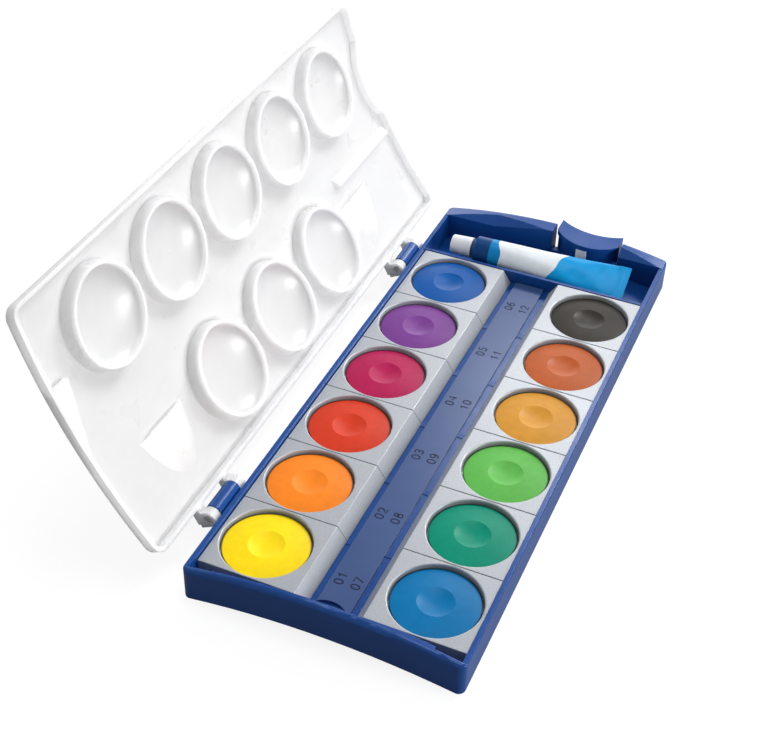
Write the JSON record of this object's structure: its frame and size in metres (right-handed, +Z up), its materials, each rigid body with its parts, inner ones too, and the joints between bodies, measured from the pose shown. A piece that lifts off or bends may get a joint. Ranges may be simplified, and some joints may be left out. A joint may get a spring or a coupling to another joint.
{
  "type": "watercolour paint set",
  "caption": "Watercolour paint set with pans of pressed paint in an arched tray, a paint tube, a sliding latch and a hinged lid with mixing wells.",
  "frame": {"origin": "middle of the plane that the tray stands on", "axes": "X across towards the free long side, Y along the tray towards the latch, Z up"},
  "size_m": [0.1762, 0.2802, 0.1147],
  "materials": {
    "tray_blue": "satin royal blue plastic",
    "panel_blue": "satin slate blue plastic",
    "pan_silver": "satin silver grey plastic",
    "paint_yellow": "pressed opaque watercolour, yellow",
    "paint_orange": "pressed opaque watercolour, orange",
    "paint_red": "pressed opaque watercolour, red",
    "paint_pink": "pressed opaque watercolour, pink",
    "paint_violet": "pressed opaque watercolour, violet",
    "paint_blue": "pressed opaque watercolour, blue",
    "paint_cyan": "pressed opaque watercolour, cyan",
    "paint_teal": "pressed opaque watercolour, teal",
    "paint_green": "pressed opaque watercolour, green",
    "paint_ochre": "pressed opaque watercolour, ochre",
    "paint_sienna": "pressed opaque watercolour, sienna",
    "paint_black": "pressed opaque watercolour, black",
    "tab_white": "smooth white",
    "lid_milky": "milky translucent",
    "tube_print": "printed thin metal",
    "neck_white": "smooth",
    "cap_grey": "satin light grey"
  },
  "bodies": {
    "tray": {"tray": "tray_blue", "channel_panel": "panel_blue"},
    "lid": {"lid": "lid_milky", "hinge_pin_near": "lid_milky", "hinge_pin_far": "lid_milky"},
    "latch": {"latch": "tray_blue", "latch_tab": "tab_white"},
    "cup_l1": {"pan_l1": "pan_silver", "tablet_l1": "paint_yellow"},
    "cup_l2": {"pan_l2": "pan_silver", "tablet_l2": "paint_orange"},
    "cup_l3": {"pan_l3": "pan_silver", "tablet_l3": "paint_red"},
    "cup_l4": {"pan_l4": "pan_silver", "tablet_l4": "paint_pink"},
    "cup_l5": {"pan_l5": "pan_silver", "tablet_l5": "paint_violet"},
    "cup_l6": {"pan_l6": "pan_silver", "tablet_l6": "paint_blue"},
    "cup_r1": {"pan_r1": "pan_silver", "tablet_r1": "paint_cyan"},
    "cup_r2": {"pan_r2": "pan_silver", "tablet_r2": "paint_teal"},
    "cup_r3": {"pan_r3": "pan_silver", "tablet_r3": "paint_green"},
    "cup_r4": {"pan_r4": "pan_silver", "tablet_r4": "paint_ochre"},
    "cup_r5": {"pan_r5": "pan_silver", "tablet_r5": "paint_sienna"},
    "cup_r6": {"pan_r6": "pan_silver", "tablet_r6": "paint_black"},
    "tube": {"tube_body": "tube_print", "tube_neck": "neck_white"},
    "cap": {"tube_cap": "cap_grey"}
  },
  "joints": [
    {"name": "lid_hinge", "type": "hinge", "parent": "tray", "child": "lid", "pos_m": [-0.0605, 0, 0.0127], "axis": [0, -1, 0], "range_deg": [-117.1, 0]},
    {"name": "latch_slide", "type": "slide", "parent": "tray", "child": "latch", "axis": [0, 1, 0], "range_m": [0, 0.003]},
    {"name": "cup_l1_lift", "type": "slide", "parent": "tray", "child": "cup_l1", "axis": [0, 0, 1], "range_m": [0, 0.03]},
    {"name": "cup_l2_lift", "type": "slide", "parent": "tray", "child": "cup_l2", "axis": [0, 0, 1], "range_m": [0, 0.03]},
    {"name": "cup_l3_lift", "type": "slide", "parent": "tray", "child": "cup_l3", "axis": [0, 0, 1], "range_m": [0, 0.03]},
    {"name": "cup_l4_lift", "type": "slide", "parent": "tray", "child": "cup_l4", "axis": [0, 0, 1], "range_m": [0, 0.03]},
    {"name": "cup_l5_lift", "type": "slide", "parent": "tray", "child": "cup_l5", "axis": [0, 0, 1], "range_m": [0, 0.03]},
    {"name": "cup_l6_lift", "type": "slide", "parent": "tray", "child": "cup_l6", "axis": [0, 0, 1], "range_m": [0, 0.03]},
    {"name": "cup_r1_lift", "type": "slide", "parent": "tray", "child": "cup_r1", "axis": [0, 0, 1], "range_m": [0, 0.03]},
    {"name": "cup_r2_lift", "type": "slide", "parent": "tray", "child": "cup_r2", "axis": [0, 0, 1], "range_m": [0, 0.03]},
    {"name": "cup_r3_lift", "type": "slide", "parent": "tray", "child": "cup_r3", "axis": [0, 0, 1], "range_m": [0, 0.03]},
    {"name": "cup_r4_lift", "type": "slide", "parent": "tray", "child": "cup_r4", "axis": [0, 0, 1], "range_m": [0, 0.03]},
    {"name": "cup_r5_lift", "type": "slide", "parent": "tray", "child": "cup_r5", "axis": [0, 0, 1], "range_m": [0, 0.03]},
    {"name": "cup_r6_lift", "type": "slide", "parent": "tray", "child": "cup_r6", "axis": [0, 0, 1], "range_m": [0, 0.03]},
    {"name": "tube_lift", "type": "slide", "parent": "tray", "child": "tube", "axis": [0, 0, 1], "range_m": [0, 0.03]},
    {"name": "cap_unscrew", "type": "slide", "parent": "tube", "child": "cap", "axis": [-0.9995, -0.0297, 0.0052], "range_m": [0, 0.008]}
  ]
}
